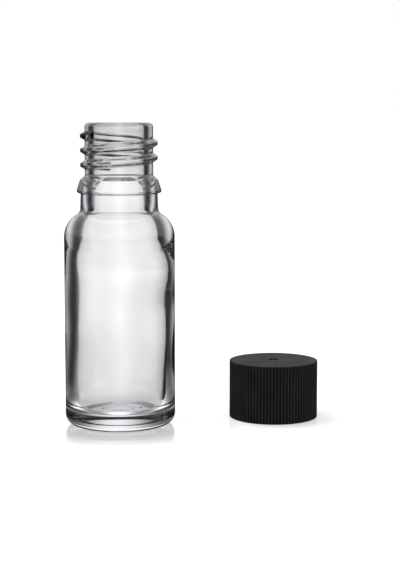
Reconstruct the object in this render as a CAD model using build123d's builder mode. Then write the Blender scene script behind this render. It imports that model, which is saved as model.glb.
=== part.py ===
from build123d import *
import os
from math import cos, radians, sin, tan

# Screw-neck glass vial, with its ribbed cap taken off and standing beside it.
# Millimetres, +Z up. The origin is the centre of the ring that the vial stands on,
# and the cap stands to the +X side, on the same level.

os.makedirs("parts", exist_ok=True)

# Vial: body and base
vial_height = 69.5
body_diameter = 25.4
heel_radius = 2.6
standing_ring_width = 1.4
push_up_depth = 0.9
push_up_run = 2.4
push_up_edge_radius = 0.5
push_up_dish_radius = 4.0
base_thickness = 3.2
floor_crown = 0.5
floor_corner_radius = 2.0
body_wall_at_floor = 2.7
body_wall_at_shoulder = 1.8

# Vial: neck, bead and shoulder, with heights measured down from the lip
neck_diameter = 15.6
bore_diameter = 11.5
lip_outer_radius = 0.9
lip_inner_radius = 0.6
lower_neck_diameter = 17.6
lower_neck_spread = 0.15
lower_neck_root_radius = 1.6
bead_diameter = 19.8
bead_shelf_diameter = 18.4
bead_start_drop = 11.7
bead_shelf_drop = 13.2
bead_end_drop = 16.1
bead_root_radius = 0.6
bead_shelf_radius = 0.5
bead_rim_radius = 0.5
bead_underside_radius = 0.2
shoulder_drop = 22.8
shoulder_wall = 2.1
shoulder_slope_angle = 31
shoulder_radius = 5.6
inner_shoulder_radius = 4.2
bore_flare_radius = 2.2

# Screw thread: one ridge on the neck, and a like one inside the cap
thread_pitch = 3.3
thread_diameter = 17.7
thread_root_width = 2.1
thread_crest_width = 0.8
neck_thread_crest_radius = 0.35
thread_sink = 0.15
thread_clearance = 0.35
neck_thread_start_drop = 10.3
neck_thread_start_angle = 100
neck_thread_turns = 2.24
cap_thread_start_height = 2.4
cap_thread_turns = 1.4

# Cap and its liner
cap_axis_x = 35.9
cap_axis_y = 7.5
cap_wall_thickness = 0.95
cap_height = 13.6
cap_top_thickness = 1.2
cap_edge_radius = 0.3
cap_foot_radius = 0.2
cap_mouth_chamfer = 0.3
rib_count = 84
rib_height = 0.25
rib_crest_width = 0.26
rib_root_width = 0.62
rib_foot_height = 0.3
rib_top_drop = 0.35
rib_sink = 0.2
gate_dimple_diameter = 2.4
gate_floor_diameter = 1.7
gate_dimple_depth = 0.35
gate_nub_diameter = 0.9
gate_nub_height = 0.2
liner_thickness = 1.0
liner_clearance = 0.15

# Shares and angles that hold at any size
FULL_TURN = 360
edge_fit_share = 0.96

# Radii and heights that follow from the sizes above
body_radius = body_diameter / 2
standing_ring_inner = body_radius - heel_radius - standing_ring_width
floor_centre_height = push_up_depth + base_thickness
inner_radius_at_floor = body_radius - body_wall_at_floor
inner_radius_at_shoulder = body_radius - body_wall_at_shoulder
neck_radius = neck_diameter / 2
bore_radius = bore_diameter / 2
lower_neck_radius = lower_neck_diameter / 2
lower_neck_foot_radius = lower_neck_radius + lower_neck_spread
bead_underside_height = vial_height - bead_end_drop
shoulder_corner_height = vial_height - shoulder_drop
thread_height = thread_diameter / 2 - neck_radius
thread_flank_rate = (thread_root_width - thread_crest_width) / 2 / thread_height
neck_thread_start_height = vial_height - neck_thread_start_drop
cap_bore_radius = thread_diameter / 2 + thread_clearance
cap_wall_radius = cap_bore_radius + cap_wall_thickness
cap_thread_reach = cap_bore_radius - neck_radius - thread_clearance
cap_inside_height = cap_height - cap_top_thickness
gate_floor_height = cap_height - gate_dimple_depth

# Cap screwed home: the liner is on the lip, and the cap's ridge runs midway between
# the turns of the neck's ridge
closed_cap_height = vial_height + liner_thickness - cap_inside_height
cap_thread_closed_height = closed_cap_height + cap_thread_start_height
ridge_lead = cap_thread_closed_height - neck_thread_start_height - thread_pitch / 2
cap_thread_start_angle = neck_thread_start_angle + FULL_TURN * ridge_lead / thread_pitch


def outer_shoulder_height(radius):
    """Height of the shoulder's outer slope at a radius."""
    return shoulder_corner_height + (body_radius - radius) * tan(radians(shoulder_slope_angle))


def inner_shoulder_height(radius):
    """Height of the shoulder's inner slope at a radius, one wall under the outer slope."""
    return outer_shoulder_height(radius) - shoulder_wall / cos(radians(shoulder_slope_angle))


def rounded_outline(corners):
    """Closed outline through (point, radius) corners, each radius cut down to fit its edges."""
    points = [Vector(*point) for point, _ in corners]
    next_points = points[1:] + points[:1]
    back_points = points[-1:] + points[:-1]
    turns = [
        (point - back).get_angle(ahead - point)
        for back, point, ahead in zip(back_points, points, next_points)
    ]
    wanted = [radius * tan(radians(turn) / 2) for (_, radius), turn in zip(corners, turns)]
    wanted_next = wanted[1:] + wanted[:1]
    fits = []
    for point, ahead, used, used_next in zip(points, next_points, wanted, wanted_next):
        room = (ahead - point).length * edge_fit_share
        needed = used + used_next
        fits.append(room / needed if needed > room else 1)
    radii = [
        radius * min(fit, fit_back)
        for (_, radius), fit, fit_back in zip(corners, fits, fits[-1:] + fits[:-1])
    ]
    return FilletPolyline(*points, radius=radii, close=True)


def thread_ridge(radius, turns, height, side, crest_radius):
    """Blunt helical ridge that rises from height zero on a wall, outward where side is 1."""
    half_crest = thread_crest_width / 2
    half_root = half_crest + thread_flank_rate * (height + thread_sink)
    with BuildPart() as ridge:
        with BuildLine() as path:
            Helix(thread_pitch, thread_pitch * turns, radius)
        across = Plane(path.line @ 0, x_dir=(side, 0, 0), z_dir=path.line % 0)
        with BuildSketch(across) as section:
            with BuildLine():
                rounded_outline(
                    [
                        ((-thread_sink, -half_root), 0),
                        ((height, -half_crest), crest_radius),
                        ((height, half_crest), crest_radius),
                        ((-thread_sink, half_root), 0),
                    ]
                )
            make_face()
        sweep(section.sketch, path=path.line, is_frenet=True)
    return ridge.part


# Neck ridge: each end runs out on a flat that dips under the neck wall
with BuildPart() as neck_thread:
    add(thread_ridge(neck_radius, neck_thread_turns, thread_height, 1, neck_thread_crest_radius))
    for turns_passed in (0, neck_thread_turns):
        angle = radians(FULL_TURN * turns_passed)
        outward = Vector(cos(angle), sin(angle), 0)
        foot = outward * (neck_radius - thread_sink)
        rise = Vector(0, 0, thread_pitch * turns_passed)
        with Locations(Plane(foot + rise, x_dir=(0, 0, 1), z_dir=outward)):
            Box(
                thread_pitch,
                thread_diameter,
                thread_diameter,
                align=(Align.CENTER, Align.CENTER, Align.MIN),
                mode=Mode.SUBTRACT,
            )

# Vial: one turned section of glass, with the ridge on its neck
with BuildPart() as vial:
    with BuildSketch(Plane.XZ):
        with BuildLine():
            rounded_outline(
                [
                    ((0, push_up_depth), 0),
                    ((standing_ring_inner - push_up_run, push_up_depth), push_up_dish_radius),
                    ((standing_ring_inner, 0), push_up_edge_radius),
                    ((body_radius, 0), heel_radius),
                    ((body_radius, shoulder_corner_height), shoulder_radius),
                    (
                        (lower_neck_foot_radius, outer_shoulder_height(lower_neck_foot_radius)),
                        lower_neck_root_radius,
                    ),
                    ((lower_neck_radius, bead_underside_height), bead_underside_radius),
                    ((bead_diameter / 2, bead_underside_height), bead_rim_radius),
                    ((bead_shelf_diameter / 2, vial_height - bead_shelf_drop), bead_shelf_radius),
                    ((neck_radius, vial_height - bead_start_drop), bead_root_radius),
                    ((neck_radius, vial_height), lip_outer_radius),
                    ((bore_radius, vial_height), lip_inner_radius),
                    ((bore_radius, inner_shoulder_height(bore_radius)), bore_flare_radius),
                    (
                        (inner_radius_at_shoulder, inner_shoulder_height(inner_radius_at_shoulder)),
                        inner_shoulder_radius,
                    ),
                    ((inner_radius_at_floor, floor_centre_height - floor_crown), floor_corner_radius),
                    ((0, floor_centre_height), 0),
                ]
            )
        make_face()
    revolve(axis=Axis.Z)
    with Locations(Location((0, 0, neck_thread_start_height), (0, 0, neck_thread_start_angle))):
        add(neck_thread.part)
vial.part.label = "vial"
export_step(vial.part, "parts/vial.step")

cap_floor = Plane((cap_axis_x, cap_axis_y, 0))
cap_section = Plane((cap_axis_x, cap_axis_y, 0), x_dir=(1, 0, 0), z_dir=(0, -1, 0))
cap_axis = Axis((cap_axis_x, cap_axis_y, 0), (0, 0, 1))

# Cap: one turned section with the gate mark on top, ribbed outside and threaded inside
with BuildPart() as screw_cap:
    with BuildSketch(cap_section):
        with BuildLine():
            rounded_outline(
                [
                    ((cap_bore_radius + cap_mouth_chamfer, 0), 0),
                    ((cap_wall_radius, 0), cap_foot_radius),
                    ((cap_wall_radius, cap_height), cap_edge_radius),
                    ((gate_dimple_diameter / 2, cap_height), 0),
                    ((gate_floor_diameter / 2, gate_floor_height), 0),
                    ((gate_nub_diameter / 2, gate_floor_height), 0),
                    ((gate_nub_diameter / 2, gate_floor_height + gate_nub_height), 0),
                    ((0, gate_floor_height + gate_nub_height), 0),
                    ((0, cap_inside_height), 0),
                    ((cap_bore_radius, cap_inside_height), 0),
                    ((cap_bore_radius, cap_mouth_chamfer), 0),
                ]
            )
        make_face()
    revolve(axis=cap_axis)
    with BuildSketch(cap_floor.offset(rib_foot_height)):
        with PolarLocations(cap_wall_radius, rib_count):
            Polygon(
                (-rib_sink, -rib_root_width / 2),
                (0, -rib_root_width / 2),
                (rib_height, -rib_crest_width / 2),
                (rib_height, rib_crest_width / 2),
                (0, rib_root_width / 2),
                (-rib_sink, rib_root_width / 2),
                align=None,
            )
    extrude(amount=cap_height - rib_foot_height - rib_top_drop)
    with Locations(
        Location((cap_axis_x, cap_axis_y, cap_thread_start_height), (0, 0, cap_thread_start_angle))
    ):
        add(thread_ridge(cap_bore_radius, cap_thread_turns, cap_thread_reach, -1, 0))
screw_cap.part.label = "screw_cap"
export_step(screw_cap.part, "parts/screw_cap.step")

# Liner: a cut disc against the inside of the cap's top
with BuildPart() as cap_liner:
    with BuildSketch(cap_floor.offset(cap_inside_height)):
        Circle(cap_bore_radius - liner_clearance)
    extrude(amount=-liner_thickness)
cap_liner.part.label = "cap_liner"
export_step(cap_liner.part, "parts/cap_liner.step")
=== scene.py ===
from math import ceil, cos, pi, radians, tan

import bpy
import numpy as np
from bpy.props import FloatProperty, FloatVectorProperty, IntProperty, PointerProperty
from mathutils import Matrix, Vector


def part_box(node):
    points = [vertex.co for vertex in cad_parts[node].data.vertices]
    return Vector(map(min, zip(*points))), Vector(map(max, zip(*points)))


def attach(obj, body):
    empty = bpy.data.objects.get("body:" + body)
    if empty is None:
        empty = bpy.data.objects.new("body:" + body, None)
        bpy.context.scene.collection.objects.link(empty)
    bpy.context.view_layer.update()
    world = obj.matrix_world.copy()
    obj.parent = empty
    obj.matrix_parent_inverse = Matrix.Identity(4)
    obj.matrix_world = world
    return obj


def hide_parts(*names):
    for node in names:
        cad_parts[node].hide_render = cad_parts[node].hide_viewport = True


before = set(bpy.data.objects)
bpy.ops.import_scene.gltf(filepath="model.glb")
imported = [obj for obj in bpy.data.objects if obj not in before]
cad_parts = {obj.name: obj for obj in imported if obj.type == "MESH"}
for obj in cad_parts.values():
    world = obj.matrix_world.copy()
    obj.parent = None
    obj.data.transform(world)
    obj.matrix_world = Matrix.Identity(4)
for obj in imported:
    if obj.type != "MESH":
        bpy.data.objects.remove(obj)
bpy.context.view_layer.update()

bl_info = {
    "name": "Screw vial with cap",
    "version": (1, 0, 0),
    "blender": (4, 5, 0),
    "location": "3D View > Sidebar > Vial",
    "description": "Models a screw-neck glass vial and its ribbed cap on the packed frame",
    "category": "Object",
}

MM = 0.001
FULL_TURN = 2 * pi

# Places that come from the frame
VIAL_LOW, VIAL_HIGH = (Vector(corner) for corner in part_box("vial"))
CAP_LOW, CAP_HIGH = (Vector(corner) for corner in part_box("screw_cap"))
LINER_LOW, LINER_HIGH = (Vector(corner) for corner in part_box("cap_liner"))
VIAL_CENTRE = (VIAL_LOW + VIAL_HIGH) / 2
CAP_CENTRE = (CAP_LOW + CAP_HIGH) / 2
LINER_CENTRE = (LINER_LOW + LINER_HIGH) / 2
VIAL_TOP = VIAL_HIGH.z
VIAL_BODY = (VIAL_HIGH.x - VIAL_LOW.x) / 2
CAP_TOP, CAP_FOOT = CAP_HIGH.z, CAP_LOW.z

# Outlines and shells: turn of an arc's step, share of an edge that roundings may take, bend that
# counts as straight, gap that is merged, and share of the faces that has to be there
GLASS_ARC_STEP = radians(7)
CAP_ARC_STEP = radians(15)
EDGE_FIT = 0.96
STRAIGHT = radians(1)
NO_LENGTH = 1e-9
MERGE_GAP = 0.0002 * MM
FACES_EXPECTED = 0.98
ON_SURFACE = 0.02 * MM

# Threads: turns over which an end runs out, and how far a flank is straight and rounded
THREAD_RUN_OUT = 0.06
FLANK_STRAIGHT, FLANK_ROUNDED = 0.7, 0.3

# Glass: small roundings and the slope of the shoulder
PUSH_UP_DISH = 4 * MM
RING_EDGE = 0.5 * MM
SHOULDER_SLOPE = tan(radians(31))
BEAD_UNDERSIDE = 0.3 * MM
BEAD_RIM = 0.6 * MM
BEAD_SHELF_EDGE = 0.4 * MM
BEAD_ROOT = 0.5 * MM
CAVITY_TOP_BEND = 2.4 * MM
WALL_BEND = 60 * MM

# Glass: spacing of the mesh rows, and how far the finer rows reach
THREAD_ROWS = 0.15 * MM
BORE_END_ROWS = 0.08 * MM
BORE_END_REACH = 0.5 * MM
MARK_ROWS = 0.07 * MM
MARK_BAND = (2.6 * MM, 5.4 * MM)
MARK_BAND_TOP = 1.05  # of the push-up
GLASS_ROWS = 0.9 * MM

# Inner wall: strength, waves round, height for a radian and start of each wave, and where the
# unevenness fades out
WALL_WAVES = ((1, 2, 6.5 * MM, 0), (1, 3, -4.1 * MM, 1), (0.7, 1, 2.7 * MM, 2))
FADE_OVER_FLOOR = 5 * MM
FADE_UNDER_TOP = 12 * MM
WALL_REACH = 0.2 * MM

# Lower end of the bore: softness at the front, the ledge under it, and the groove round the back
SOFT_EDGE = 0.7 * MM
SOFT_EDGE_RISE = 3.5 * MM
SOFT_EDGE_DROP = 0.5 * MM
BORE_SKIN = 0.01 * MM
LEDGE_RISE = 0.2 * MM
LEDGE_DROP = 1.5 * MM
GROOVE_RISE = 0.25 * MM
GROOVE_HALF_WIDTH = 0.5 * MM
GROOVE_DEPTH = 0.45 * MM
GROOVE_REACH = 0.35 * MM

# Arcs under the base: radius, then first and last angle in degrees
BASE_ARCS = ((4.3 * MM, 150, 214), (3.1 * MM, -32, 8), (4.8 * MM, -20, 30))
BASE_ARC_HALF_WIDTH = 0.28 * MM
BASE_ARC_END = 8
UNDER_BASE_TOP = 1.1  # of the push-up

# Cap: small roundings, spacing of the mesh rows, and how far each place is painted pale: painted
# highlight on the ribs' crests and the top edge, painted light on the top, and the torn gate
CAP_INSIDE_CORNER = 0.25 * MM
CAP_MOUTH_EDGE = 0.05 * MM
GATE_EDGE = 0.12 * MM
GATE_FLOOR_EDGE = 0.1 * MM
NUB_ROOT = 0.06 * MM
NUB_EDGE = 0.08 * MM
NUB_TAPER = 0.86
CAP_SKIN = 0.3 * MM
CAP_MARGIN = 0.1 * MM
GATE_ROWS = 0.12 * MM
CAP_INSIDE_ROWS = 0.35 * MM
CAP_SIDE_ROWS = 1.6 * MM
CAP_TOP_ROWS = 2.5 * MM
RIB_HIGHLIGHT, EDGE_HIGHLIGHT, TOP_PAINTED_LIGHT, TEAR_AND_GLINTS = 0.9, 0.8, 0.33, 2
HIGHLIGHT_SHARPNESS = 1.5
EDGE_HIGHLIGHT_DOWN, EDGE_HIGHLIGHT_IN = 0.6, 1.2  # of the top edge's rounding

# Torn gate: depth for its height, then lobes round it and rings across it with their strengths
TEAR_DEPTH = 0.5
TEAR_LOBES, TEAR_LOBE_START, TEAR_LOBE_STRENGTH = 3, 1, 0.35
TEAR_RING, TEAR_RING_STRENGTH = 0.11 * MM, 0.4

# Liner: mesh, and the ring that the lip presses into it
LINER_ROWS = 0.7 * MM
LINER_STEPS = 96
LINER_PRINT_DEPTH = 0.08 * MM
LINER_PRINT_HALF_WIDTH = 1.3 * MM

# Glass finish, with painted shade: stops of its colour, from looked at squarely to seen along the
# surface, and the slow loss and the late loss painted over them as shade, each with its power
GLASS_FACINGS = (0, 0.02, 0.06, 0.13, 0.25, 0.4, 0.55, 0.68, 0.78, 0.87, 0.94, 1)
SLOW_SHADE, SLOW_SHADE_POWER = 0.17, 0.8
LATE_SHADE, LATE_SHADE_POWER = 0.8, 6
GLASS_INDEX = 1.52

# Plastic finish: how evenly the painted light is spread, the flecks in a tear, and its roughness
PAINTED_LIGHT_EVENNESS = 0.25
FLECK_START, FLECK_SHARPNESS = 0.42, 6
PLASTIC_ROUGHNESS, PATCH_ROUGHNESS = 0.5, 0.3

# Light paths: depths between none and one surface, and between solid and hollow glass
ANY_DEPTH = 0.5
SOLID_DEPTH = 3.5

# Floor: its glow for the eye, and ramps over the share of its radius from the vial's axis
FLOOR_RADIUS, FLOOR_SIDES = 2.5, 96
# The floor's glow is lowered round the cap as a painted shadow
FLOOR_GLOW, CAP_SHADE = 0.58, 0.12
FLOOR_SOLID, FLOOR_SOLID_LEAST = 0.85, 0.12
FLOOR_TURNED_LEAST = 0.035
FLOOR_THROUGH_GLASS = (
    (0.004, 0.02),
    (0.011, 0.08),
    (0.022, 0.19),
    (0.05, 0.27),
    (0.09, 0.39),
    (0.14, 0.53),
    (0.22, 0.6),
    (0.4, 0.6),
    (0.9, 0.56),
)
FLOOR_RINGS = ((0.012, 1.2), (0.017, 0.55), (0.036, 0.55), (0.05, 1.0))
FLOOR_UNDER_BASE = ((0.007, 0.3), (0.013, 0.16), (0.02, 0.0))
POLISH_GAIN, POLISH_MOST, POLISH_BY_CAP = 2.4, 0.6, 0.3

# Room: level of the backdrop by the upward part of a ray, and the tint of light turned in glass
BACKDROP = ((-0.12, 1.1), (-0.03, 1.06), (0.03, 1.04), (0.12, 1.06), (0.4, 1.1), (0.56, 0.08))
DIFFUSE_LEVEL = 0.80
WHITE = (1, 1, 1, 1)
COOL = (0.96, 0.99, 1.03, 1)
ROOM_SOLID, ROOM_SOLID_LEAST = 0.84, 0.16
ROOM_TURNED_LEAST = 0.045
STEEP_START, STEEP_RATE, STEEP_LOSS = 0.38, 6, 0.6
WINDOW_BRIGHT = 0.9
WINDOW_LOSS = -1.3
WINDOW_EDGE = 1.5

# Camera
CAMERA_PLACE = (0.0185, -0.344, 0.0735)
CAMERA_TURN = (radians(90 - 6.83), 0, 0)
CAMERA_LENS = 94.9
CAMERA_NEAREST = 0.01


def length(name, description, millimetres):
    """A size that a user would change, shown in Blender's length unit."""
    return FloatProperty(
        name=name,
        description=description,
        default=millimetres * MM,
        precision=5,
        subtype="DISTANCE",
        unit="LENGTH",
    )


def bearing(name, description, degrees):
    """An angle that a user would change."""
    return FloatProperty(
        name=name,
        description=description,
        default=radians(degrees),
        subtype="ANGLE",
        unit="ROTATION",
    )


def turns(name, description, default):
    """A number of turns that a user would change."""
    return FloatProperty(name=name, description=description, default=default, min=0.5)


def count(name, description, default, least):
    """A whole number that a user would change."""
    return IntProperty(name=name, description=description, default=default, min=least)


def tint(name, description, rgb):
    """A linear colour that a user would change."""
    return FloatVectorProperty(
        name=name, description=description, default=rgb, size=3, min=0, max=1, subtype="COLOR"
    )


class VialSizes(bpy.types.PropertyGroup):
    """Sizes of the blown glass."""

    wedges: count("Wedges", "Like wedges round the glass", 27, 6)
    wedge_steps: count("Steps in a wedge", "Mesh steps across a wedge", 8, 4)
    heel: length("Heel radius", "Rounding between the wall and the base", 2.6)
    ring_width: length("Standing ring", "Width of the ring that the vial stands on", 1.4)
    push_up: length("Push-up", "Height of the hollow under the base", 0.9)
    push_up_run: length("Push-up run", "Radial run of the push-up's slope", 2.4)
    base: length("Base", "Glass between the push-up and the floor", 3.2)
    floor_crown: length("Floor crown", "Rise of the floor towards its middle", 0.5)
    floor_corner: length("Floor corner", "Rounding between the floor and the inner wall", 2.0)
    wall: length("Wall", "Thickness of the body wall at its thickest side", 2.4)
    thin_side: length("Thin side", "Swell of the inner wall towards +X in the upper body", 0.85)
    thin_side_height: length("Thin side height", "Height at which that swell begins", 26.5)
    thin_side_run: length("Thin side run", "Height over which the swell grows", 9.0)
    wall_growth: length("Wall growth", "How much thicker the wall is at the floor", 0.5)
    wall_growth_height: length("Wall growth height", "Where the wall begins to thicken down", 22.0)
    lean: length("Lean", "Shift of the inner wall towards +X", 0.2)
    ripple: length("Ripple", "Depth of the waves in the inner wall", 0.07)
    shoulder_drop: length("Shoulder drop", "Shoulder corner under the lip", 22.63)
    shoulder_radius: length("Shoulder radius", "Rounding of the outer shoulder", 6.5)
    bore_end: length("Bore end", "Lower end of the bore under the lip", 20.8)
    bore_end_corner: length("Bore end corner", "Rounding of the bore's lower edge", 0.35)
    cavity_top: length("Cavity top", "Radius of the cavity just under the bore", 7.1)
    cavity_top_drop: length("Cavity top drop", "Top of the cavity under the lip", 21.5)
    cavity_drop: length("Cavity drop", "Where the cavity is at full width, under the lip", 27.5)
    cavity_bend: length("Cavity bend", "Rounding of the cavity's shoulder", 24.0)
    neck: length("Neck", "Radius of the neck between the threads", 7.8)
    bore: length("Bore", "Radius of the bore", 5.75)
    lip_outer: length("Lip outside", "Outer rounding of the lip", 0.9)
    lip_inner: length("Lip inside", "Inner rounding of the lip", 0.6)
    lower_neck: length("Lower neck", "Radius of the neck under the bead", 8.8)
    lower_neck_spread: length("Lower neck spread", "Growth of the lower neck at its foot", 0.15)
    lower_neck_root: length("Lower neck root", "Rounding between neck and shoulder", 1.6)
    bead: length("Bead", "Radius of the transfer bead", 9.9)
    bead_shelf: length("Bead shelf", "Radius at the top of the bead", 8.9)
    bead_start: length("Bead start", "Where the bead leaves the neck, under the lip", 11.9)
    bead_top: length("Bead top", "Top of the bead under the lip", 12.9)
    bead_end: length("Bead end", "Underside of the bead under the lip", 15.95)
    pitch: length("Pitch", "Rise of the thread in one turn", 3.3)
    thread: length("Thread", "Radius of the thread's crest", 8.85)
    thread_root: length("Thread root", "Width of the ridge at the neck", 2.1)
    thread_crest: length("Thread crest", "Width of the ridge at its top", 0.7)
    thread_start: length("Thread start", "Lower end of the thread under the lip", 10.3)
    thread_angle: bearing("Thread angle", "Where the thread starts, from +X", 100)
    thread_turns: turns("Thread turns", "Turns from end to end", 2.29)
    mould_mark: length("Mould mark", "Height of the plain arcs under the base", 0.5)


class CapSizes(bpy.types.PropertyGroup):
    """Sizes of the moulded cap and the liner in it."""

    rib_count: count("Ribs", "Grip ribs round the cap", 84, 12)
    rib_steps: count("Steps in a rib", "Mesh steps across a rib", 10, 6)
    rib: length("Rib height", "How far a rib stands out", 0.25)
    rib_root: length("Rib root", "Width of a rib at the wall", 0.66)
    rib_crest: length("Rib crest", "Width of a rib at its top", 0.16)
    rib_foot: length("Rib foot", "Plain band under the ribs", 0.14)
    rib_end: length("Rib end", "Where the ribs run out under the top", 0.03)
    edge: length("Top edge", "Rounding of the top edge", 0.22)
    foot: length("Foot", "Rounding of the foot", 0.2)
    mouth: length("Mouth", "Chamfer at the mouth", 0.3)
    bore: length("Cap bore", "Inner radius of the wall", 9.2)
    top: length("Top", "Thickness of the top", 1.2)
    pitch: length("Cap pitch", "Rise of the cap's thread in one turn", 3.3)
    thread_reach: length("Thread reach", "How far the cap's thread stands inward", 1.05)
    thread_root: length("Cap thread root", "Width of the ridge at the wall", 2.1)
    thread_crest: length("Cap thread crest", "Width of the ridge at its top", 0.8)
    thread_start: length("Cap thread start", "Height of the ridge's lower end", 2.4)
    thread_angle: bearing("Cap thread angle", "Where the cap's ridge starts, from +X", 101)
    thread_turns: turns("Cap thread turns", "Turns from end to end", 1.4)
    gate: length("Gate", "Radius of the gate dimple", 1.2)
    gate_floor: length("Gate floor", "Radius of the dimple's floor", 0.85)
    gate_depth: length("Gate depth", "Depth of the dimple", 0.5)
    nub: length("Nub", "Radius of the broken gate", 0.45)
    nub_height: length("Nub height", "Height of the broken gate", 0.42)
    liner_edge: length("Liner edge", "Rounding of the liner's cut edge", 0.12)


class Finishes(bpy.types.PropertyGroup):
    """Colours of the pieces and the stage."""

    # Painted shade: the glass edge colour darkens the glass where it is seen edge on, and the bead
    # colour darkens the thick bead
    glass_edge_shade: tint("Glass edge", "Glass seen along its surface", (0.006, 0.008, 0.011))
    glass_neck: tint("Glass mottle", "Mottle in the glass of the neck", (0.42, 0.43, 0.44))
    glass_bead_shade: tint("Glass bead", "Bead seen along its surface", (0.16, 0.165, 0.175))
    plastic: tint("Plastic", "Black moulded plastic", (0.0036, 0.0036, 0.0040))
    plastic_worn: tint("Plastic, dusty", "Dusty black plastic", (0.0078, 0.0075, 0.0074))
    # Painted highlight and painted light on the cap's crests, top edge and top; the torn colour is
    # whitened torn plastic with painted glints
    plastic_painted_light: tint("Plastic, rubbed", "Plastic rubbed pale", (0.0270, 0.0258, 0.0250))
    plastic_torn_glints: tint("Plastic, torn", "Plastic gone pale in a tear", (0.20, 0.195, 0.185))
    liner: tint("Liner", "Foamed liner", (0.80, 0.80, 0.78))
    floor: tint("Floor", "Pale table", (0.58, 0.58, 0.585))


def start_clean():
    """Leave edit mode and deselect everything, the frame's own objects included."""
    if bpy.context.object and bpy.context.object.mode != "OBJECT":
        bpy.ops.object.mode_set(mode="OBJECT")
    bpy.ops.object.select_all(action="DESELECT")


def rounded_outline(corners, step):
    """Points of a half section through ((radius, height), rounding) corners, with arcs."""
    spots = [Vector(spot) for spot, _ in corners]
    bends = [pi - (a - b).angle(c - b) for a, b, c in zip(spots, spots[1:], spots[2:])]
    wanted = [0, *(rounding * tan(bend / 2) for (_, rounding), bend in zip(corners[1:], bends)), 0]
    edges = [(b - a).length for a, b in zip(spots, spots[1:])]
    fits = [
        min(1, EDGE_FIT * edge / max(a + b, NO_LENGTH))
        for edge, a, b in zip(edges, wanted, wanted[1:])
    ]
    points = [spots[0]]
    for i, bend in enumerate(bends, 1):
        here = spots[i]
        set_back = wanted[i] * min(fits[i - 1], fits[i])
        if set_back == 0 or bend < STRAIGHT:
            points.append(here)
            continue
        first = here + (spots[i - 1] - here).normalized() * set_back
        last = here + (spots[i + 1] - here).normalized() * set_back
        middle = (first + last) / 2 - here
        centre = here + middle.normalized() * (set_back / tan(bend / 2) / cos(bend / 2))
        start = first - centre
        turn = start.angle_signed(last - centre)
        parts = max(3, ceil(abs(turn) / step))
        points += [centre + Matrix.Rotation(-turn * k / parts, 2) @ start for k in range(parts + 1)]
    points.append(spots[-1])
    return points


def divided(points, spacing):
    """The same outline, with long runs divided where the mesh needs more rows."""
    out = [points[0]]
    for here, ahead in zip(points, points[1:]):
        parts = max(1, ceil((ahead - here).length / spacing((here + ahead) / 2)))
        out += [here.lerp(ahead, i / parts) for i in range(1, parts + 1)]
    return out


def spun_shell(name, outline, steps, centre, copies=1):
    """Draw a half section by extruding one vertex, spin it round an upright axis and close it.

    With copies, one wedge is spun, and the wedge is repeated round the axis.
    """
    start_clean()
    first = Vector((centre.x + outline[0].x, centre.y, outline[0].y))
    bpy.ops.mesh.primitive_plane_add(size=MM, location=first)
    piece = bpy.context.object
    piece.name = piece.data.name = name
    bpy.ops.object.mode_set(mode="EDIT")
    bpy.ops.mesh.select_mode(type="VERT")
    bpy.ops.mesh.select_all(action="SELECT")
    bpy.ops.mesh.merge(type="CENTER")
    for here, ahead in zip(outline, outline[1:]):
        move = (ahead.x - here.x, 0, ahead.y - here.y)
        bpy.ops.mesh.extrude_vertices_move(TRANSFORM_OT_translate={"value": move})
    bpy.ops.mesh.select_all(action="SELECT")
    about = {"center": (centre.x, centre.y, 0), "axis": (0, 0, 1), "use_auto_merge": False}
    wedge = FULL_TURN / copies
    bpy.ops.mesh.spin(steps=steps, angle=wedge, **about)
    bpy.ops.mesh.select_all(action="SELECT")
    if copies > 1:
        bpy.ops.mesh.spin(steps=copies - 1, angle=FULL_TURN - wedge, dupli=True, **about)
        bpy.ops.mesh.select_all(action="SELECT")
    bpy.ops.mesh.remove_doubles(threshold=MERGE_GAP)
    bpy.ops.mesh.normals_make_consistent(inside=False)
    bpy.ops.object.mode_set(mode="OBJECT")
    bpy.ops.object.transform_apply(location=True, rotation=True, scale=True)
    if len(piece.data.polygons) < FACES_EXPECTED * steps * copies * (len(outline) - 1):
        raise RuntimeError(f"{name}: the spun shell has too few faces")
    return piece


def points_of(piece, centre):
    """Vertex places of a piece as arrays: radius and angle round an upright axis, and height."""
    places = np.empty(3 * len(piece.data.vertices))
    piece.data.vertices.foreach_get("co", places)
    places = places.reshape(-1, 3)
    x, y = places[:, 0] - centre.x, places[:, 1] - centre.y
    return np.hypot(x, y), np.arctan2(y, x), places[:, 2].copy()


def set_points(piece, centre, radius, angle, height):
    """Put a piece's vertices back from radius, angle and height."""
    places = np.stack(
        (centre.x + radius * np.cos(angle), centre.y + radius * np.sin(angle), height), axis=1
    )
    piece.data.vertices.foreach_set("co", places.ravel())
    piece.data.update()


def ease(share):
    """Smooth step from 0 to 1."""
    share = np.clip(share, 0, 1)
    return share * share * (3 - 2 * share)


def ridge_share(size, angle, height, start_height):
    """Share of a screw ridge's height at each point, easing to nothing at both ends."""
    lap = np.mod(angle - size.thread_angle, FULL_TURN) / FULL_TURN
    climb = (height - start_height) / size.pitch - lap
    turn = np.round(climb)
    off = np.abs(climb - turn) * size.pitch
    along = lap + turn
    half_root, half_crest = size.thread_root / 2, size.thread_crest / 2
    rise = np.clip((half_root - off) / (half_root - half_crest), 0, 1)
    across = FLANK_STRAIGHT * rise + FLANK_ROUNDED * ease(rise)
    ends = ease(along / THREAD_RUN_OUT) * ease((size.thread_turns - along) / THREAD_RUN_OUT)
    return across * ends


def cleared_tree(owner):
    """The empty node tree of a new material or world."""
    owner.use_nodes = True
    owner.node_tree.nodes.clear()
    return owner.node_tree


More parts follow.
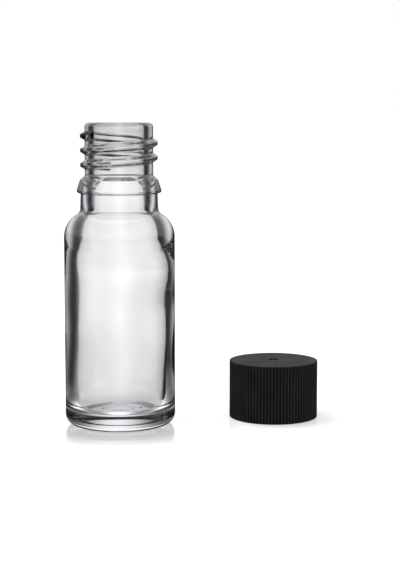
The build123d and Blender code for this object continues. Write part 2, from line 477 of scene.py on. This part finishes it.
def new_material(name):
    """A material with one Principled shader, its tree and that shader."""
    material = bpy.data.materials.new(name)
    tree = cleared_tree(material)
    output = tree.nodes.new("ShaderNodeOutputMaterial")
    shader = tree.nodes.new("ShaderNodeBsdfPrincipled")
    tree.links.new(shader.outputs["BSDF"], output.inputs["Surface"])
    return material, tree, shader


def put(tree, socket, value):
    """Link a socket to an input, or set the input to a number or colour."""
    if isinstance(value, bpy.types.NodeSocket):
        tree.links.new(value, socket)
    else:
        socket.default_value = value


def calculate(tree, operation, *values, clamp=False):
    """A Math node on up to three sockets or numbers."""
    node = tree.nodes.new("ShaderNodeMath")
    node.operation = operation
    node.use_clamp = clamp
    for socket, value in zip(node.inputs, values):
        put(tree, socket, value)
    return node.outputs[0]


def fade(tree, feed, start, end, low, high):
    """A smooth step from low to high while a socket goes from start to end."""
    node = tree.nodes.new("ShaderNodeMapRange")
    node.interpolation_type = "SMOOTHSTEP"
    names = ("Value", "From Min", "From Max", "To Min", "To Max")
    for name, value in zip(names, (feed, start, end, low, high)):
        put(tree, node.inputs[name], value)
    return node.outputs["Result"]


def mixed(tree, factor, first, second, colours=False, blend="MIX"):
    """A Mix node on two sockets or numbers, or on two sockets or colours."""
    node = tree.nodes.new("ShaderNodeMix")
    places = (0, 2, 3)
    if colours:
        node.data_type, node.blend_type = "RGBA", blend
        places = (0, 6, 7)
    for place, value in zip(places, (factor, first, second)):
        put(tree, node.inputs[place], value)
    return node.outputs[2 if colours else 0]


def mixed_shaders(tree, factor, first, second):
    """A Mix Shader node."""
    node = tree.nodes.new("ShaderNodeMixShader")
    for socket, value in zip(node.inputs, (factor, first, second)):
        tree.links.new(value, socket)
    return node.outputs[0]


def emission(tree, strength, colour=WHITE):
    """An Emission shader."""
    node = tree.nodes.new("ShaderNodeEmission")
    node.inputs["Color"].default_value = colour
    tree.links.new(strength, node.inputs["Strength"])
    return node.outputs[0]


def ramp(tree, feed, stops):
    """A colour ramp through (place, colour) stops, fed by a socket."""
    node = tree.nodes.new("ShaderNodeValToRGB")
    elements = node.color_ramp.elements
    while len(elements) < len(stops):
        elements.new(0.5)
    for element, (place, colour) in zip(elements, stops):
        element.position = place
        element.color = (*colour, 1)
    tree.links.new(feed, node.inputs["Fac"])
    return node.outputs["Color"]


def levels(tree, feed, stops):
    """A grey ramp through (place, level) stops, fed by a socket."""
    return ramp(tree, feed, [(place, (level,) * 3) for place, level in stops])


def own_place(tree):
    """The Object coordinates of a piece."""
    return tree.nodes.new("ShaderNodeTexCoord").outputs["Object"]


def parts_of(tree, vector):
    """The X, Y and Z sockets of a vector."""
    node = tree.nodes.new("ShaderNodeSeparateXYZ")
    tree.links.new(vector, node.inputs[0])
    return node.outputs


def noise(tree, place, scale, detail, roughness):
    """Noise on coordinates of the piece's own."""
    node = tree.nodes.new("ShaderNodeTexNoise")
    node.inputs["Scale"].default_value = scale
    node.inputs["Detail"].default_value = detail
    node.inputs["Roughness"].default_value = roughness
    tree.links.new(place, node.inputs["Vector"])
    return node.outputs["Fac"]


def bump(tree, feed, shader, strength, distance):
    """Bump on a shader from a height socket."""
    node = tree.nodes.new("ShaderNodeBump")
    node.inputs["Strength"].default_value = strength
    node.inputs["Distance"].default_value = distance
    tree.links.new(feed, node.inputs["Height"])
    tree.links.new(node.outputs["Normal"], shader.inputs["Normal"])


def glass_material(finishes):
    """Clear blown glass with painted shade: its colour is bright where it is looked through and
    painted dark where it is seen edge on.
    """
    material, tree, shader = new_material("clear_glass_blown")
    weight = tree.nodes.new("ShaderNodeLayerWeight")
    weight.inputs["Blend"].default_value = 0.5
    facing = weight.outputs["Facing"]
    edge, clear = Vector(finishes.glass_edge_shade), Vector((1, 1, 1))
    stops = []
    for turned in GLASS_FACINGS:
        share = 1 - SLOW_SHADE * turned**SLOW_SHADE_POWER
        share = share * (1 - LATE_SHADE * turned**LATE_SHADE_POWER)
        stops.append((turned, edge.lerp(clear, share * share)))
    colour = ramp(tree, facing, stops)
    place = own_place(tree)
    height = parts_of(tree, place)["Z"]

    # Faint grey noise in the neck, drawn out round it, growing towards the lip
    squeezed = tree.nodes.new("ShaderNodeMapping")
    squeezed.inputs["Scale"].default_value = (1, 1, 3.5)
    tree.links.new(place, squeezed.inputs["Vector"])
    neck_noise = noise(tree, squeezed.outputs[0], scale=260, detail=3, roughness=0.55)
    on_neck = fade(tree, height, start=54 * MM, end=62 * MM, low=0.0, high=0.5)
    grey = calculate(tree, "MULTIPLY", neck_noise, on_neck)
    colour = mixed(tree, grey, colour, (*finishes.glass_neck, 1), colours=True, blend="MULTIPLY")

    # Painted shade: the thick bead's colour is darker where it is seen along its surface
    over_foot = fade(tree, height, start=53.3 * MM, end=53.8 * MM, low=0.0, high=1.0)
    under_top = fade(tree, height, start=57.0 * MM, end=57.8 * MM, low=1.0, high=0.0)
    along = fade(tree, facing, start=0.2, end=0.6, low=0.0, high=0.85)
    bead_shade = calculate(tree, "MULTIPLY", calculate(tree, "MULTIPLY", over_foot, under_top), along)
    colour = mixed(tree, bead_shade, colour, (*finishes.glass_bead_shade, 1), colours=True, blend="MULTIPLY")

    tree.links.new(colour, shader.inputs["Base Color"])
    shader.inputs["Roughness"].default_value = 0.0
    shader.inputs["IOR"].default_value = GLASS_INDEX
    shader.inputs["Transmission Weight"].default_value = 1.0
    return material


def plastic_material(finishes):
    """Black moulded plastic: matte grain, dusty patches, painted highlights and painted light where
    the cap catches light, and pale where it is torn.
    """
    material, tree, shader = new_material("black_plastic_moulded")
    place = own_place(tree)
    mark = tree.nodes.new("ShaderNodeAttribute")
    mark.attribute_name = "painted_light_and_tear"
    painted_light_and_tear = mark.outputs["Fac"]

    patches = noise(tree, place, scale=210, detail=5, roughness=0.62)
    dark, worn = Vector(finishes.plastic), Vector(finishes.plastic_worn)
    colour = ramp(tree, patches, [(0.36, dark), (0.56, dark.lerp(worn, 0.45)), (0.74, worn)])
    # Painted highlight and painted light: paler plastic where the attribute marks the crests, the
    # top edge and the top
    share = calculate(tree, "MULTIPLY", painted_light_and_tear, calculate(tree, "ADD", patches, PAINTED_LIGHT_EVENNESS))
    colour = mixed(tree, share, colour, (*finishes.plastic_painted_light, 1), colours=True)

    # Pale flecks in the torn gate: torn plastic whitened, with painted glints
    flecks = noise(tree, place, scale=2400, detail=2, roughness=0.6)
    flecks = calculate(tree, "SUBTRACT", flecks, FLECK_START)
    flecks = calculate(tree, "MULTIPLY", flecks, FLECK_SHARPNESS, clamp=True)
    broken = calculate(tree, "SUBTRACT", painted_light_and_tear, 1, clamp=True)
    share = calculate(tree, "MULTIPLY", broken, flecks)
    colour = mixed(tree, share, colour, (*finishes.plastic_torn_glints, 1), colours=True)

    tree.links.new(colour, shader.inputs["Base Color"])
    rough = calculate(tree, "MULTIPLY_ADD", patches, PATCH_ROUGHNESS, PLASTIC_ROUGHNESS)
    tree.links.new(rough, shader.inputs["Roughness"])
    shader.inputs["Specular IOR Level"].default_value = 0.15
    grain = noise(tree, place, scale=5200, detail=2, roughness=0.6)
    bump(tree, grain, shader, strength=0.22, distance=0.04 * MM)
    return material


def liner_material(finishes):
    """White foamed liner with a fine cellular skin."""
    material, tree, shader = new_material("white_liner_foam")
    cells = noise(tree, own_place(tree), scale=2600, detail=4, roughness=0.6)
    pale = Vector(finishes.liner)
    colour = ramp(tree, cells, [(0.3, pale * 0.86), (0.7, pale)])
    tree.links.new(colour, shader.inputs["Base Color"])
    shader.inputs["Roughness"].default_value = 0.62
    bump(tree, cells, shader, strength=0.35, distance=0.06 * MM)
    return material


def finish_piece(piece, node, material):
    """Shade a piece, give it its finish and put it on the frame in a node's place."""
    start_clean()
    piece.select_set(True)
    bpy.context.view_layer.objects.active = piece
    bpy.ops.object.shade_smooth()
    piece.data.materials.clear()
    piece.data.materials.append(material)
    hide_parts(node)
    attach(piece, "root")


class VIAL_OT_glass(bpy.types.Operator):
    """Model the vial: a spun shell of glass with its thread, uneven inner wall and base marks"""

    bl_idname = "vial.glass"
    bl_label = "Glass vial"

    def execute(self, context):
        size = context.scene.vial_sizes
        outline = rounded_outline(self.section(size), GLASS_ARC_STEP)
        outline = divided(outline, lambda point: self.rows(size, point))
        piece = spun_shell("vial_glass", outline, size.wedge_steps, VIAL_CENTRE, size.wedges)
        radius, angle, height = points_of(piece, VIAL_CENTRE)
        radius = self.threaded(size, radius, angle, height)
        radius = self.uneven(size, radius, angle, height)
        radius = self.bore_ended(size, radius, angle, height)
        height = self.marked(size, radius, angle, height)
        set_points(piece, VIAL_CENTRE, radius, angle, height)
        finish_piece(piece, "vial", glass_material(context.scene.vial_finishes))
        piece.visible_shadow = False
        piece.visible_diffuse = False
        return {"FINISHED"}

    def section(self, size):
        """Corners of the half section, from under the base, up outside and down inside."""
        ring_inner = VIAL_BODY - size.heel - size.ring_width
        inner = VIAL_BODY - size.wall
        floor = size.push_up + size.base
        shoulder = VIAL_TOP - size.shoulder_drop
        foot = size.lower_neck + size.lower_neck_spread
        return [
            ((0, size.push_up), 0),
            ((ring_inner - size.push_up_run, size.push_up), PUSH_UP_DISH),
            ((ring_inner, 0), RING_EDGE),
            ((VIAL_BODY, 0), size.heel),
            ((VIAL_BODY, shoulder), size.shoulder_radius),
            ((foot, shoulder + (VIAL_BODY - foot) * SHOULDER_SLOPE), size.lower_neck_root),
            ((size.lower_neck, VIAL_TOP - size.bead_end), BEAD_UNDERSIDE),
            ((size.bead, VIAL_TOP - size.bead_end), BEAD_RIM),
            ((size.bead_shelf, VIAL_TOP - size.bead_top), BEAD_SHELF_EDGE),
            ((size.neck, VIAL_TOP - size.bead_start), BEAD_ROOT),
            ((size.neck, VIAL_TOP), size.lip_outer),
            ((size.bore, VIAL_TOP), size.lip_inner),
            ((size.bore, VIAL_TOP - size.bore_end), size.bore_end_corner),
            ((size.cavity_top, VIAL_TOP - size.cavity_top_drop), CAVITY_TOP_BEND),
            ((inner, VIAL_TOP - size.cavity_drop), size.cavity_bend),
            ((inner, size.wall_growth_height), WALL_BEND),
            ((inner - size.wall_growth, floor - size.floor_crown), size.floor_corner),
            ((0, floor), 0),
        ]

    def rows(self, size, point):
        """Spacing of the mesh rows: finer on the thread, at the bore's end and over the arcs."""
        if point.y > VIAL_TOP - size.bead_start and point.x > (size.neck + size.bore) / 2:
            return THREAD_ROWS
        from_edge = abs(point.y - (VIAL_TOP - size.bore_end))
        if from_edge < MM and point.x < size.bore + BORE_END_REACH:
            return BORE_END_ROWS
        if point.y < size.push_up * MARK_BAND_TOP and MARK_BAND[0] < point.x < MARK_BAND[1]:
            return MARK_ROWS
        return GLASS_ROWS

    def threaded(self, size, radius, angle, height):
        """Raise the screw thread on the outside of the neck."""
        beyond = radius > (size.neck + size.bore) / 2
        outside = (height > VIAL_TOP - size.bead_start - MM) & beyond
        share = ridge_share(size, angle, height, VIAL_TOP - size.thread_start)
        crest = size.neck + (size.thread - size.neck) * share
        return np.where(outside, np.maximum(radius, np.where(share > 0, crest, 0)), radius)

    def uneven(self, size, radius, angle, height):
        """Thin the inner wall towards +X in the upper body, and wave it slowly."""
        inner = VIAL_BODY - size.wall
        floor = size.push_up + size.base
        over_floor = height > floor - size.floor_crown
        within = (radius < inner + WALL_REACH) & over_floor & (height < VIAL_TOP - size.bore_end)
        ends = ease((height - floor) / FADE_OVER_FLOOR)
        ends = ends * ease((VIAL_TOP - size.cavity_top_drop - height) / FADE_UNDER_TOP)
        swell = ease((height - size.thin_side_height) / size.thin_side_run)
        push = size.lean * np.cos(angle) + size.thin_side * swell * (1 + np.cos(angle)) / 2
        waves = sum(
            strength * np.sin(lobes * angle + height / rise + start)
            for strength, lobes, rise, start in WALL_WAVES
        )
        return radius + np.where(within, ends * (push + size.ripple * waves) * radius / inner, 0)

    def bore_ended(self, size, radius, angle, height):
        """Draw the bore's lower edge soft at the front, and groove it finely round the back."""
        edge = VIAL_TOP - size.bore_end
        front, back = ease(0.5 - 1.2 * np.sin(angle)), ease(2 * np.sin(angle) - 0.1)
        soft = SOFT_EDGE * front
        bored = (radius < size.bore + BORE_SKIN) & (height > edge - SOFT_EDGE_DROP)
        ledge = (radius < size.cavity_top) & (height > edge - LEDGE_DROP) & ~bored
        ledge = ledge & (height < edge + LEDGE_RISE)
        radius = radius + np.where(bored, soft * ease(1 - (height - edge) / SOFT_EDGE_RISE) ** 2, 0)
        left = (size.cavity_top - radius) / (size.cavity_top - size.bore)
        radius = radius + np.where(ledge, soft * left, 0)

        across = ease(1 - np.abs(height - edge - GROOVE_RISE) / GROOVE_HALF_WIDTH)
        grooved = (radius < size.bore + GROOVE_REACH) & (np.abs(height - edge) < MM)
        return radius + np.where(grooved, GROOVE_DEPTH * across * back, 0)

    def marked(self, size, radius, angle, height):
        """Raise plain arcs under the base."""
        ring_inner = VIAL_BODY - size.heel - size.ring_width
        under = (height < size.push_up * UNDER_BASE_TOP) & (radius < ring_inner)
        for at, low, high in BASE_ARCS:
            turned = np.mod(np.degrees(angle) - low, 360)
            along = ease(turned / BASE_ARC_END) * ease((high - low - turned) / BASE_ARC_END)
            across = ease(1 - np.abs(radius - at) / BASE_ARC_HALF_WIDTH)
            height = height - np.where(under, size.mould_mark * along * across, 0)
        return height


class VIAL_OT_cap(bpy.types.Operator):
    """Model the cap: a spun shell with grip ribs, an inner thread and a gate mark"""

    bl_idname = "vial.cap"
    bl_label = "Screw cap"

    def execute(self, context):
        size = context.scene.cap_sizes
        wall = (CAP_HIGH.x - CAP_LOW.x) / 2 - size.rib
        inside = CAP_TOP - size.top
        gate_floor = CAP_TOP - size.gate_depth
        nub_top = gate_floor + size.nub_height
        corners = [
            ((0, inside), 0),
            ((size.bore, inside), CAP_INSIDE_CORNER),
            ((size.bore, CAP_FOOT + size.mouth), CAP_MOUTH_EDGE),
            ((size.bore + size.mouth, CAP_FOOT), CAP_MOUTH_EDGE),
            ((wall, CAP_FOOT), size.foot),
            ((wall, CAP_TOP), size.edge),
            ((size.gate, CAP_TOP), GATE_EDGE),
            ((size.gate_floor, gate_floor), GATE_FLOOR_EDGE),
            ((size.nub, gate_floor), NUB_ROOT),
            ((size.nub * NUB_TAPER, nub_top), NUB_EDGE),
            ((0, nub_top), 0),
        ]

        def rows(point):
            if point.y > CAP_TOP - MM and point.x < size.gate:
                return GATE_ROWS
            if point.y < inside and point.x < wall - CAP_SKIN:
                return CAP_INSIDE_ROWS
            return CAP_SIDE_ROWS if point.x > wall - CAP_SKIN else CAP_TOP_ROWS

        outline = divided(rounded_outline(corners, CAP_ARC_STEP), rows)
        piece = spun_shell("cap_shell", outline, size.rib_steps, CAP_CENTRE, size.rib_count)
        radius, angle, height = points_of(piece, CAP_CENTRE)

        # Grip ribs with rounded crests, running out over both edges
        outside = radius > (size.bore + wall) / 2 + CAP_MARGIN
        pitch = FULL_TURN / size.rib_count
        off = np.abs(np.mod(angle + pitch / 2, pitch) - pitch / 2) * wall
        across = ease((size.rib_root / 2 - off) / (size.rib_root / 2 - size.rib_crest / 2))
        along = ease((height - CAP_FOOT - 0.5 * size.rib_foot) / (0.5 * size.rib_foot))
        along = along * ease((CAP_TOP - height) / (2 * size.rib_end))
        radius = radius + np.where(outside, size.rib * across * along, 0)

        # How far each place is painted pale: painted highlight on the ribs' crests and the top
        # edge, and painted light on the top
        painted_light_and_tear = np.where(outside, RIB_HIGHLIGHT * across**HIGHLIGHT_SHARPNESS * along, 0)
        rounding = height > CAP_TOP - EDGE_HIGHLIGHT_DOWN * size.edge
        rounding = rounding & (radius > wall - EDGE_HIGHLIGHT_IN * size.edge)
        painted_light_and_tear = np.maximum(painted_light_and_tear, np.where(rounding & outside, EDGE_HIGHLIGHT, 0))
        painted_light_and_tear = np.where((height > CAP_TOP - ON_SURFACE) & ~rounding, TOP_PAINTED_LIGHT, painted_light_and_tear)

        # Thread ridge inside
        bored = (np.abs(radius - size.bore) < ON_SURFACE) & (height < inside - CAP_MARGIN)
        share = ridge_share(size, angle, height, CAP_FOOT + size.thread_start)
        radius = radius - np.where(bored, size.thread_reach * share, 0)

        # Torn gate in the middle of the top
        torn = (height > gate_floor + 0.5 * size.nub_height) & (radius < size.nub)
        rough = np.sin(TEAR_LOBES * angle + TEAR_LOBE_START) * TEAR_LOBE_STRENGTH
        rough = rough + np.sin(radius / TEAR_RING) * TEAR_RING_STRENGTH
        sunk = size.nub_height * TEAR_DEPTH * (1 + rough) * radius / size.nub
        height = height - np.where(torn, sunk, 0)
        # The torn gate is marked for pale flecks: whitened torn plastic, with painted glints
        painted_light_and_tear = np.where(torn, TEAR_AND_GLINTS, painted_light_and_tear)

        set_points(piece, CAP_CENTRE, radius, angle, height)
        mark = piece.data.attributes.new("painted_light_and_tear", "FLOAT", "POINT")
        mark.data.foreach_set("value", painted_light_and_tear.astype(np.float32))
        material = plastic_material(context.scene.vial_finishes)
        finish_piece(piece, "screw_cap", material)
        return {"FINISHED"}


class VIAL_OT_liner(bpy.types.Operator):
    """Model the liner: a punched disc with a slightly rolled edge, up inside the cap"""

    bl_idname = "vial.liner"
    bl_label = "Cap liner"

    def execute(self, context):
        size, lip = context.scene.cap_sizes, context.scene.vial_sizes
        disc = (LINER_HIGH.x - LINER_LOW.x) / 2
        corners = [
            ((0, LINER_LOW.z), 0),
            ((disc, LINER_LOW.z), size.liner_edge),
            ((disc, LINER_HIGH.z), size.liner_edge),
            ((0, LINER_HIGH.z), 0),
        ]
        outline = divided(rounded_outline(corners, CAP_ARC_STEP), lambda point: LINER_ROWS)
        piece = spun_shell("cap_liner_disc", outline, LINER_STEPS, LINER_CENTRE)
        radius, angle, height = points_of(piece, LINER_CENTRE)

        # Ring pressed into its face by the lip of the vial
        middle = (lip.neck + lip.bore) / 2
        print_depth = ease(1 - np.abs(radius - middle) / LINER_PRINT_HALF_WIDTH)
        print_depth = LINER_PRINT_DEPTH * print_depth
        height = height + np.where(height < LINER_LOW.z + ON_SURFACE, print_depth, 0)
        set_points(piece, LINER_CENTRE, radius, angle, height)
        material = liner_material(context.scene.vial_finishes)
        finish_piece(piece, "cap_liner", material)
        return {"FINISHED"}


def at_least_once(tree, depth):
    """1 for a ray whose depth of one kind isn't 0."""
    return calculate(tree, "GREATER_THAN", depth, ANY_DEPTH)


def turned_in_glass(tree, path):
    """1 for a ray that went into the glass and was thrown back inside it."""
    thrown = at_least_once(tree, path["Glossy Depth"])
    inside = at_least_once(tree, path["Transmission Depth"])
    return calculate(tree, "MULTIPLY", thrown, inside)


def through_solid(tree, path):
    """1 for a ray that went through solid glass only, as in the heel, the bead and the thread."""
    once = at_least_once(tree, path["Transmission Depth"])
    few = calculate(tree, "LESS_THAN", path["Transmission Depth"], SOLID_DEPTH)
    return calculate(tree, "MULTIPLY", once, few)


def window(tree, parts):
    """1 straight ahead, behind and to each side, and 0 halfway between."""
    around = calculate(tree, "ARCTAN2", parts["Y"], parts["X"])
    swing = calculate(tree, "COSINE", calculate(tree, "MULTIPLY", around, 4))
    return calculate(tree, "MULTIPLY_ADD", swing, 0.5, 0.5)


def room_sides(tree, path, parts, dark):
    """Dark surroundings with four bright windows, weaker each time that a ray is turned."""
    times = calculate(tree, "MAXIMUM", path["Glossy Depth"], 1)
    worth = calculate(tree, "POWER", times, WINDOW_LOSS)
    worth = calculate(tree, "MULTIPLY", worth, WINDOW_BRIGHT)
    shape = calculate(tree, "POWER", window(tree, parts), WINDOW_EDGE)
    return calculate(tree, "MULTIPLY_ADD", shape, worth, dark)


def distance(tree, place, centre):
    """Distance of a place on the floor from a piece's axis."""
    node = tree.nodes.new("ShaderNodeVectorMath")
    node.operation = "DISTANCE"
    tree.links.new(place, node.inputs[0])
    node.inputs[1].default_value = (centre.x, centre.y, 0)
    return node.outputs["Value"]


def beside(tree, place, centre, full, none):
    """1 on the floor close round a piece, fading to 0 further out."""
    return fade(tree, distance(tree, place, centre), start=full, end=none, low=1, high=0)


def floor_material(colour):
    """Pale table: white to the eye, with shadows and some polish, and darker through the glass."""
    material = bpy.data.materials.new("floor_white")
    tree = cleared_tree(material)
    path = tree.nodes.new("ShaderNodeLightPath").outputs
    place = own_place(tree)
    parts = parts_of(tree, place)
    far = distance(tree, place, Vector((0, 0, 0)))
    far = calculate(tree, "MULTIPLY", far, 1 / FLOOR_RADIUS)

    # Its own glow, with a painted shadow where the glow is lowered round the cap, and what the
    # hollow glass shows of it
    shaded = beside(tree, place, CAP_CENTRE, full=9 * MM, none=26 * MM)
    own = calculate(tree, "MULTIPLY_ADD", shaded, -CAP_SHADE, FLOOR_GLOW)
    eye = calculate(tree, "MULTIPLY", path["Is Camera Ray"], own)
    behind = levels(tree, far, FLOOR_THROUGH_GLASS)
    behind = calculate(tree, "MULTIPLY", path["Is Transmission Ray"], behind)
    glow = emission(tree, calculate(tree, "MAXIMUM", eye, behind))
    diffuse = tree.nodes.new("ShaderNodeBsdfDiffuse")
    diffuse.inputs["Color"].default_value = (*colour, 1)
    lit = tree.nodes.new("ShaderNodeAddShader")
    tree.links.new(diffuse.outputs[0], lit.inputs[0])
    tree.links.new(glow, lit.inputs[1])

    # Polish close round the pieces
    gloss = tree.nodes.new("ShaderNodeFresnel")
    gloss.inputs["IOR"].default_value = 1.5
    by_vial = beside(tree, place, VIAL_CENTRE, full=13 * MM, none=35 * MM)
    by_cap = beside(tree, place, CAP_CENTRE, full=10 * MM, none=17 * MM)
    by_cap = calculate(tree, "MULTIPLY", by_cap, POLISH_BY_CAP)
    near = calculate(tree, "MAXIMUM", by_vial, by_cap)
    polish = calculate(tree, "MULTIPLY", gloss.outputs[0], POLISH_GAIN)
    polish = calculate(tree, "MINIMUM", polish, POLISH_MOST)
    polish = calculate(tree, "MULTIPLY", polish, near)
    polish = calculate(tree, "MULTIPLY", polish, path["Is Camera Ray"])
    shine = tree.nodes.new("ShaderNodeBsdfGlossy")
    shine.inputs["Roughness"].default_value = 0.08
    shown = mixed_shaders(tree, polish, lit.outputs[0], shine.outputs[0])

    # What solid glass shows of it
    narrow = window(tree, parts)
    narrow = calculate(tree, "MULTIPLY_ADD", narrow, FLOOR_SOLID, FLOOR_SOLID_LEAST)
    shown = mixed_shaders(tree, through_solid(tree, path), shown, emission(tree, narrow))

    # What light that was turned in the glass meets: windows, and a glow close under the base
    inside = at_least_once(tree, path["Transmission Depth"])
    rings = calculate(tree, "MULTIPLY", inside, levels(tree, far, FLOOR_RINGS))
    windows = room_sides(tree, path, parts, dark=0.0)
    windows = calculate(tree, "MULTIPLY_ADD", windows, rings, FLOOR_TURNED_LEAST)
    under = calculate(tree, "MULTIPLY", inside, levels(tree, far, FLOOR_UNDER_BASE))
    dim = emission(tree, calculate(tree, "ADD", windows, under), COOL)
    shown = mixed_shaders(tree, at_least_once(tree, path["Glossy Depth"]), shown, dim)

    output = tree.nodes.new("ShaderNodeOutputMaterial")
    tree.links.new(shown, output.inputs["Surface"])
    return material


def white_room():
    """White surroundings, with darker sides for light thrown back inside the glass."""
    world = bpy.data.worlds.new("white_room")
    tree = cleared_tree(world)
    path = tree.nodes.new("ShaderNodeLightPath").outputs
    parts = parts_of(tree, tree.nodes.new("ShaderNodeTexCoord").outputs["Generated"])

    # Backdrop that is seen straight through the glass, narrower through solid glass
    rise = calculate(tree, "MULTIPLY_ADD", parts["Z"], 0.5, 0.5)
    backdrop = levels(tree, rise, [(0.5 + z / 2, level) for z, level in BACKDROP])
    seen = mixed(tree, path["Is Transmission Ray"], 1.0, backdrop)
    narrow = calculate(tree, "POWER", window(tree, parts), WINDOW_EDGE)
    narrow = calculate(tree, "MULTIPLY_ADD", narrow, ROOM_SOLID, ROOM_SOLID_LEAST)
    narrow = calculate(tree, "MULTIPLY", seen, narrow)
    seen = mixed(tree, through_solid(tree, path), seen, narrow)

    # Mirrored rays meet a dark foot under a white room
    mirrored = fade(tree, parts["Z"], start=0.0, end=0.2, low=0.04, high=1.0)
    seen = mixed(tree, at_least_once(tree, path["Glossy Depth"]), seen, mirrored)

    # Rays turned in the glass meet the dark sides, darker still above and below
    steep = calculate(tree, "SUBTRACT", calculate(tree, "ABSOLUTE", parts["Z"]), STEEP_START)
    steep = calculate(tree, "MULTIPLY", steep, STEEP_RATE, clamp=True)
    level = calculate(tree, "MULTIPLY_ADD", steep, -STEEP_LOSS, 1.0)
    dim = room_sides(tree, path, parts, dark=ROOM_TURNED_LEAST)
    dim = calculate(tree, "MULTIPLY", dim, level)
    turned = turned_in_glass(tree, path)
    seen = mixed(tree, turned, seen, dim)
    seen = mixed(tree, path["Is Diffuse Ray"], seen, DIFFUSE_LEVEL)

    background = tree.nodes.new("ShaderNodeBackground")
    colour = mixed(tree, turned, WHITE, COOL, colours=True)
    tree.links.new(colour, background.inputs["Color"])
    tree.links.new(seen, background.inputs["Strength"])
    output = tree.nodes.new("ShaderNodeOutputWorld")
    tree.links.new(background.outputs[0], output.inputs["Surface"])
    return world


class VIAL_OT_stage(bpy.types.Operator):
    """Set the white stage: floor, soft light, surroundings and camera"""

    bl_idname = "vial.stage"
    bl_label = "Stage, light and camera"

    def execute(self, context):
        scene = context.scene
        scene.view_settings.view_transform = "Standard"
        scene.cycles.max_bounces = 32
        scene.cycles.glossy_bounces = 16
        scene.cycles.transmission_bounces = 24
        self.floor(scene.vial_finishes)
        scene.world = white_room()
        self.lamp("key_softbox", (-0.16, 0.12, 0.34), aim=(0.02, 0.0, 0.0), side=0.30, power=0.8)
        self.lamp("fill_softbox", (0.10, -0.34, 0.36), aim=(0.02, 0.0, 0.03), side=0.32, power=0.4)
        self.camera(scene)
        return {"FINISHED"}

    def floor(self, finishes):
        """Round table under the pieces."""
        start_clean()
        bpy.ops.mesh.primitive_circle_add(
            vertices=FLOOR_SIDES, radius=FLOOR_RADIUS, fill_type="NGON", location=(0, 0, 0)
        )
        floor = bpy.context.object
        floor.name = floor.data.name = "floor"
        floor.data.materials.append(floor_material(finishes.floor))

    def lamp(self, name, place, aim, side, power):
        """Square softbox turned to a point."""
        start_clean()
        bpy.ops.object.light_add(type="AREA", location=place)
        lamp = bpy.context.object
        lamp.name = lamp.data.name = name
        lamp.data.shape = "SQUARE"
        lamp.data.size = side
        lamp.data.energy = power
        lamp.visible_glossy = lamp.visible_transmission = False
        lamp.rotation_euler = (Vector(aim) - Vector(place)).to_track_quat("-Z", "Y").to_euler()

    def camera(self, scene):
        """Long lens, just above the lip and tilted slightly down."""
        start_clean()
        bpy.ops.object.camera_add(location=CAMERA_PLACE, rotation=CAMERA_TURN)
        camera = bpy.context.object
        camera.data.lens = CAMERA_LENS
        camera.data.clip_start = CAMERA_NEAREST
        scene.camera = camera


class VIAL_PT_pieces(bpy.types.Panel):
    """Sizes, colours and operators of the vial"""

    bl_idname = "VIAL_PT_pieces"
    bl_label = "Screw vial"
    bl_space_type = "VIEW_3D"
    bl_region_type = "UI"
    bl_category = "Vial"

    def draw(self, context):
        layout, scene = self.layout, context.scene
        for kind in OPERATORS:
            layout.operator(kind.bl_idname)
        for group in (scene.vial_sizes, scene.cap_sizes, scene.vial_finishes):
            box = layout.box()
            for name in group.bl_rna.properties.keys():
                if name not in {"rna_type", "name"}:
                    box.prop(group, name)


OPERATORS = (VIAL_OT_glass, VIAL_OT_cap, VIAL_OT_liner, VIAL_OT_stage)
CLASSES = (VialSizes, CapSizes, Finishes, *OPERATORS, VIAL_PT_pieces)


def register():
    for kind in CLASSES:
        bpy.utils.register_class(kind)
    bpy.types.Scene.vial_sizes = PointerProperty(type=VialSizes)
    bpy.types.Scene.cap_sizes = PointerProperty(type=CapSizes)
    bpy.types.Scene.vial_finishes = PointerProperty(type=Finishes)


def unregister():
    del bpy.types.Scene.vial_finishes
    del bpy.types.Scene.cap_sizes
    del bpy.types.Scene.vial_sizes
    for kind in reversed(CLASSES):
        bpy.utils.unregister_class(kind)


def main():
    register()
    bpy.ops.vial.glass()
    bpy.ops.vial.cap()
    bpy.ops.vial.liner()
    bpy.ops.vial.stage()


if __name__ == "__main__":
    main()
